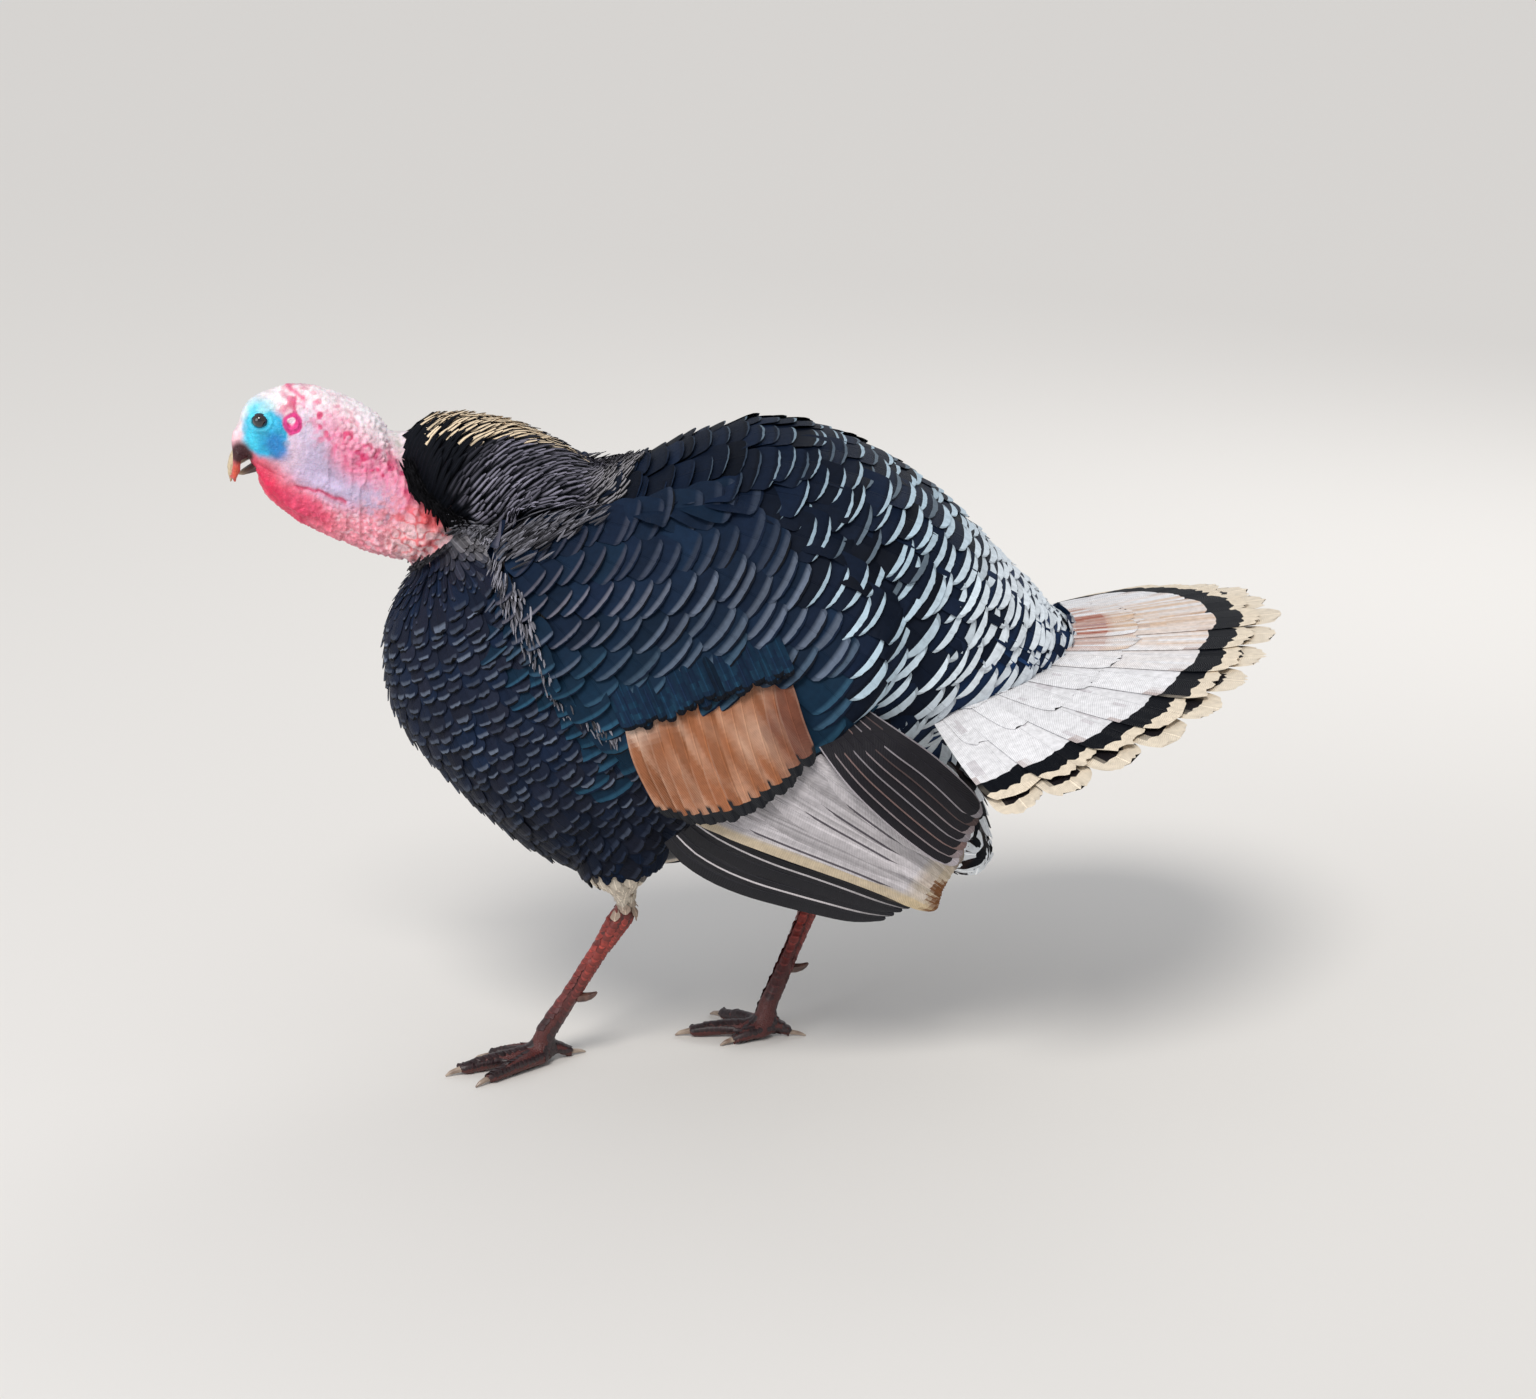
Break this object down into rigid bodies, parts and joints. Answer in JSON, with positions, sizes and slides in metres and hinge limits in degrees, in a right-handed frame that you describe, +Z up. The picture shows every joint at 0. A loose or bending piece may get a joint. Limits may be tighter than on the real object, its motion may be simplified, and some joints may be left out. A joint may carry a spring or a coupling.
{
  "type": "domestic turkey",
  "caption": "Life-size still model of a domestic turkey tom, walking with puffed coat, bare pink and blue head, lowered wings and a low fanned tail.",
  "frame": {"origin": "on the floor, below the middle of the bird's overall length and width", "axes": "+Z up, -X the way the bird faces, +X towards the tail, -Y the bird's left side"},
  "size_m": [1.0838, 0.576, 0.7277],
  "materials": {
    "trunk_feather": "overlapping black feathers with a dull blue-green sheen and pale rims towards the rump",
    "ruff_feather": "long black feathers with buff tips",
    "wing_covert": "blue-black scale-like feathers with a bronze band",
    "secondary_quill": "grey-white flight feathers with fine dark lines",
    "primary_quill": "black flight feathers with pale shafts",
    "tail_quill": "white feathers with a black band and cream tips",
    "tail_covert": "white feathers with sparse dark marks",
    "vent_feather": "loose black feathers with white tips",
    "thigh_feather": "short black feathers ending in pale down",
    "head_skin": "bare mottled skin, pink, violet grey and blue",
    "neck_skin": "bare wrinkled pink and red skin",
    "snood_skin": "dark red fleshy skin",
    "beak_horn": "pale horn with a dark base",
    "eye": "wet and glossy, almost black",
    "leg_scute": "red-brown scutes",
    "toe_scute": "dark brown scutes",
    "claw_horn": "worn horn"
  },
  "bodies": {
    "root": {"trunk": "trunk_feather", "neck": "neck_skin", "neck_ruff": "ruff_feather", "head": "head_skin", "beak_upper": "beak_horn", "beak_lower": "beak_horn", "snood": "snood_skin", "eye_left": "eye", "eye_right": "eye", "tail_fan": "tail_quill", "tail_coverts_upper": "tail_covert", "tail_coverts_under": "vent_feather", "vent_feathers": "vent_feather", "wing_left": "wing_covert", "secondaries_left": "secondary_quill", "primaries_left": "primary_quill", "thigh_left": "thigh_feather", "shank_left": "leg_scute", "spur_left": "claw_horn", "toe_left_middle": "toe_scute", "claw_left_middle": "claw_horn", "toe_left_inner": "toe_scute", "claw_left_inner": "claw_horn", "toe_left_outer": "toe_scute", "claw_left_outer": "claw_horn", "toe_left_hind": "toe_scute", "claw_left_hind": "claw_horn", "wing_right": "wing_covert", "secondaries_right": "secondary_quill", "primaries_right": "primary_quill", "thigh_right": "thigh_feather", "shank_right": "leg_scute", "spur_right": "claw_horn", "toe_right_middle": "toe_scute", "claw_right_middle": "claw_horn", "toe_right_inner": "toe_scute", "claw_right_inner": "claw_horn", "toe_right_outer": "toe_scute", "claw_right_outer": "claw_horn", "toe_right_hind": "toe_scute", "claw_right_hind": "claw_horn"}
  },
  "joints": []
}
